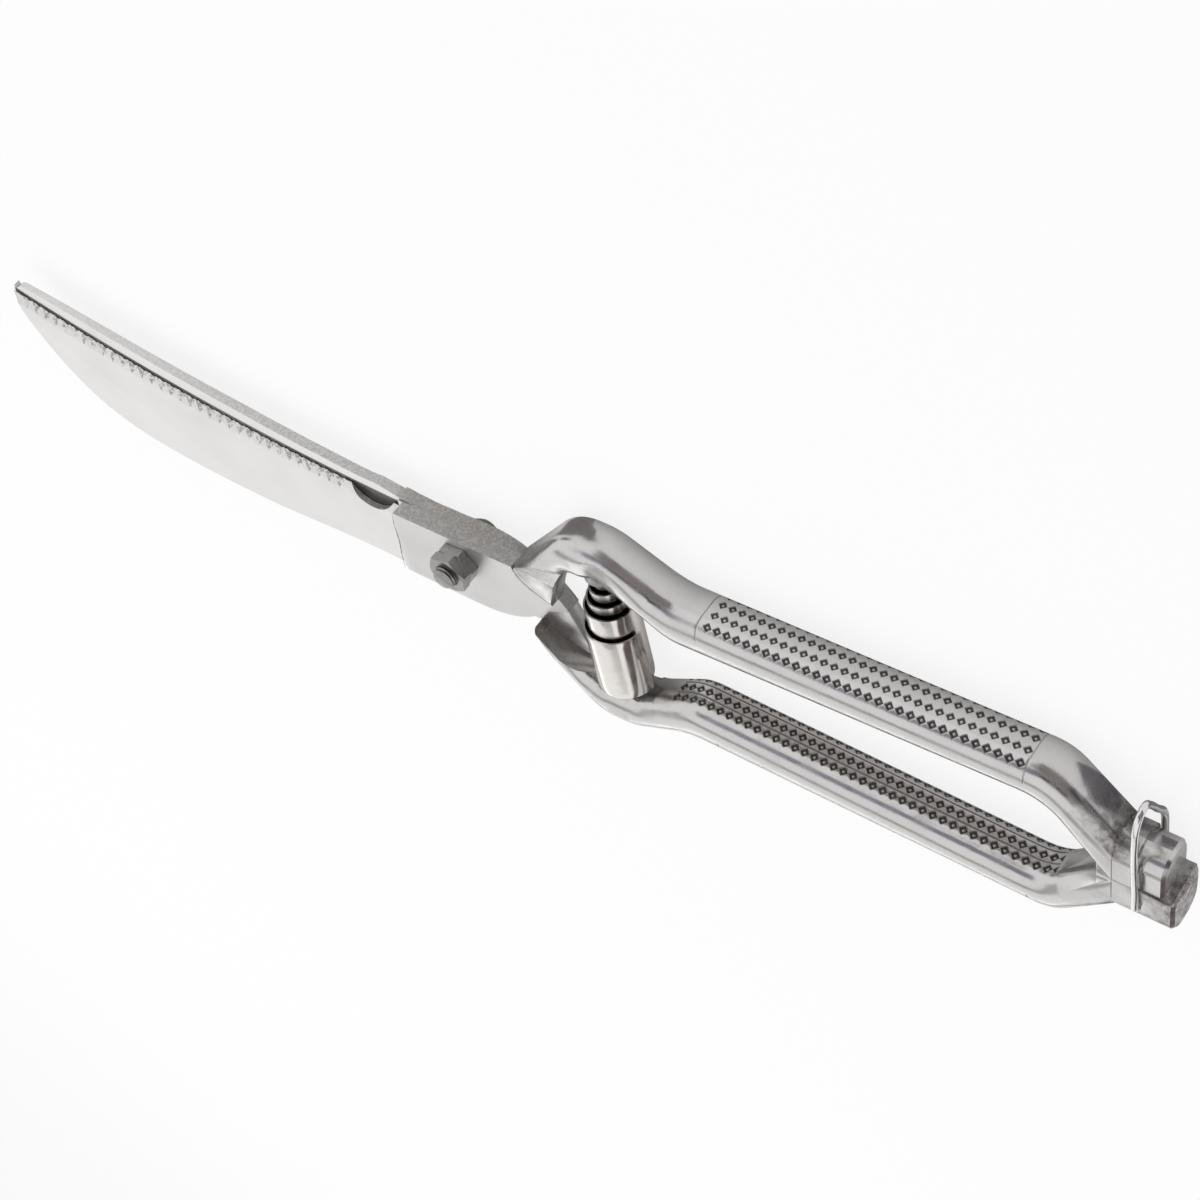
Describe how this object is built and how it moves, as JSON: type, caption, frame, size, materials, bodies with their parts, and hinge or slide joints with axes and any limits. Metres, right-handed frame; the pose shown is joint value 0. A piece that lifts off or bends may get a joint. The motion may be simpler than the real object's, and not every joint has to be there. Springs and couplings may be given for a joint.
{
  "type": "poultry shears",
  "caption": "All-metal spring-loaded poultry shears: curved serrated blades with a bone notch, looped handles, a volute spring between the arches and a wire catch.",
  "frame": {"origin": "centre of the pivot bolt's flat head, on the surface that the shears lie on", "axes": "+X from the blade tips to the handle ends, +Y towards the upper handle, +Z along the pivot axis, up from the table"},
  "size_m": [0.2659, 0.054, 0.0157],
  "materials": {
    "blade_steel": "ground and polished stainless blade, rough forged top edge",
    "handle_metal": "satin cast stainless handle with pressed grip panels",
    "fastener_steel": "turned steel",
    "spring_steel": "bright rolled spring strip",
    "wire_steel": "bright drawn wire"
  },
  "bodies": {
    "back_half": {"back_blade": "blade_steel", "lower_handle": "handle_metal", "pivot_bolt": "fastener_steel", "pivot_nut": "fastener_steel", "lock_nut": "fastener_steel", "buffer_spring": "spring_steel", "lower_spring_peg": "fastener_steel"},
    "front_half": {"front_blade": "blade_steel", "upper_handle": "handle_metal", "upper_spring_peg": "fastener_steel"},
    "catch": {"wire_catch": "wire_steel"}
  },
  "joints": [
    {"name": "blade_pivot", "type": "hinge", "parent": "back_half", "child": "front_half", "pos_m": [0, 0, 0.0062], "axis": [0, 0, 1], "range_deg": [0, 25], "deforming": ["buffer_spring"]},
    {"name": "catch_swing", "type": "hinge", "parent": "back_half", "child": "catch", "pos_m": [0.142, -0.0092, 0.0062], "axis": [0, 0, 1], "range_deg": [-100, 0]}
  ],
  "couplings": [
    {"joint": "catch_swing", "follows": "blade_pivot", "ratio": -4}
  ]
}
